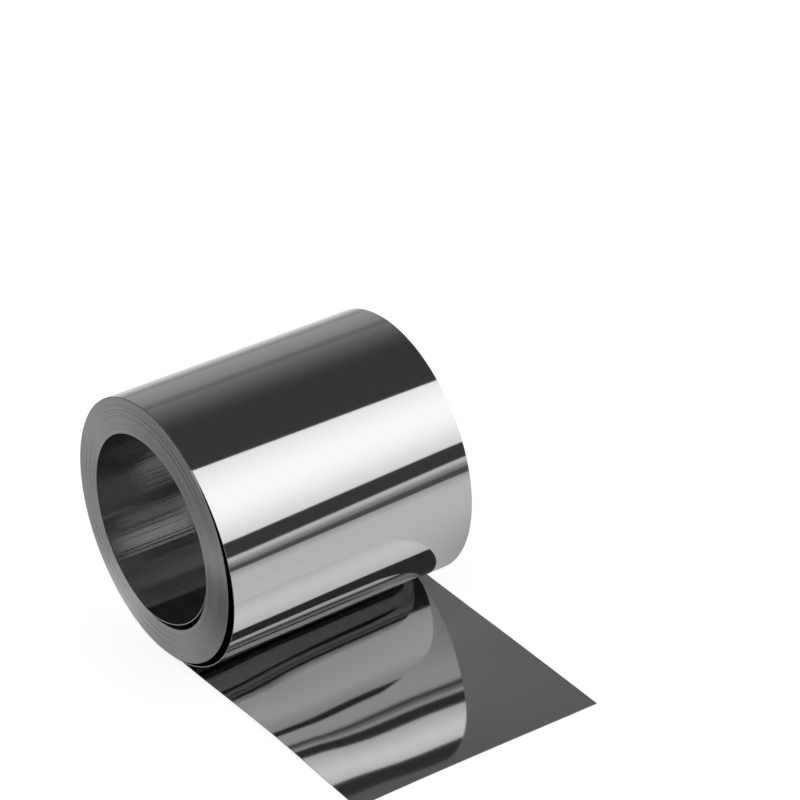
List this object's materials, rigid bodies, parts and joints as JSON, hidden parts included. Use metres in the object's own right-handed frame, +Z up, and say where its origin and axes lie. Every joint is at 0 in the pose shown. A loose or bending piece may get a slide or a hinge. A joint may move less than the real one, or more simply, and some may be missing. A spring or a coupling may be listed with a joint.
{
  "type": "stainless steel strip roll",
  "caption": "Roll of thin, bright stainless steel strip on its side, with a loose outer turn and a flat free end.",
  "frame": {"origin": "on the axis of the roll's bore, half way along it", "axes": "+Y along the bore, away from the end seen best; +X the way the free end runs along the ground; +Z up"},
  "size_m": [0.1639, 0.1086, 0.0978],
  "materials": {
    "stainless_strip": "bright rolled, mirror-like faces with satin slit edges"
  },
  "bodies": {
    "root": {"strip_roll": "stainless_strip"}
  },
  "joints": []
}
